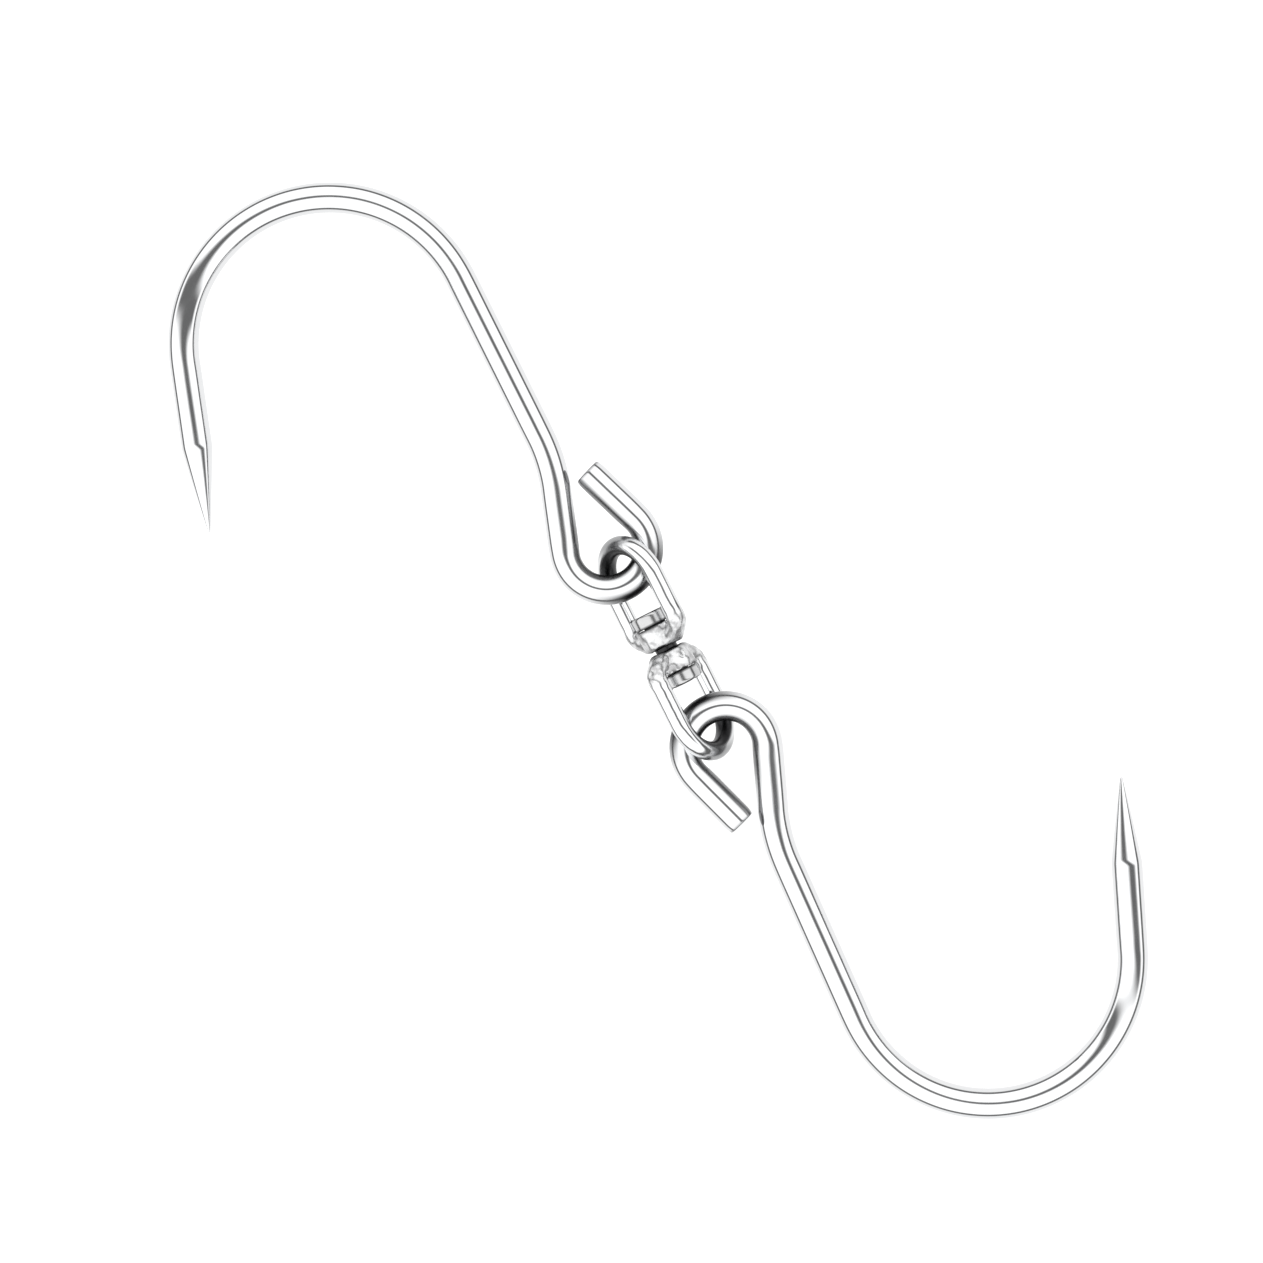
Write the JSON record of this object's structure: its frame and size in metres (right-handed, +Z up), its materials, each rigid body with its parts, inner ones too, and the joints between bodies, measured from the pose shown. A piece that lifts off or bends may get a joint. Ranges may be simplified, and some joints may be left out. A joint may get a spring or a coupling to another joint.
{
  "type": "meat hook",
  "caption": "Double-ended butcher's swivel hook: two pointed round-rod hooks joined eye to eye by a pinned swivel, so that a hung load can turn.",
  "frame": {"origin": "highest point inside the upper crook, where the hook bears on its rail", "axes": "+Z up along the load line, from the lower crook to the upper crook; +X from the load line towards the upper hook's shank; the hooks lie in the XZ plane"},
  "size_m": [0.1147, 0.022, 0.316],
  "materials": {
    "rod_steel": "bright drawn stainless steel rod, polished, with ground points and cut tail ends",
    "eye_steel": "tumbled and polished stainless steel casting",
    "pin_steel": "turned stainless steel"
  },
  "bodies": {
    "upper_hook": {"upper_hook": "rod_steel"},
    "upper_eye": {"upper_swivel_eye": "eye_steel"},
    "pin": {"swivel_pin": "pin_steel", "pin_collar": "pin_steel"},
    "lower_eye": {"lower_swivel_eye": "eye_steel"},
    "lower_hook": {"lower_hook": "rod_steel"}
  },
  "joints": [
    {"name": "upper_eye_swing", "type": "hinge", "parent": "upper_hook", "child": "upper_eye", "pos_m": [0.00866, 0, -0.13282], "axis": [0.8968, 0.4226, -0.1311], "range_deg": [-45, 45]},
    {"name": "pin_spin", "type": "hinge", "parent": "upper_eye", "child": "pin", "pos_m": [0.0019, 0, -0.151], "axis": [0.3486, 0, 0.9373], "continuous": true},
    {"name": "swivel_spin", "type": "hinge", "parent": "pin", "child": "lower_eye", "pos_m": [0.0019, 0, -0.151], "axis": [0.3486, 0, 0.9373], "continuous": true},
    {"name": "lower_hook_swing", "type": "hinge", "parent": "lower_eye", "child": "lower_hook", "pos_m": [-0.00636, 0, -0.17978], "axis": [0, 1, 0], "range_deg": [-75, 75]}
  ]
}
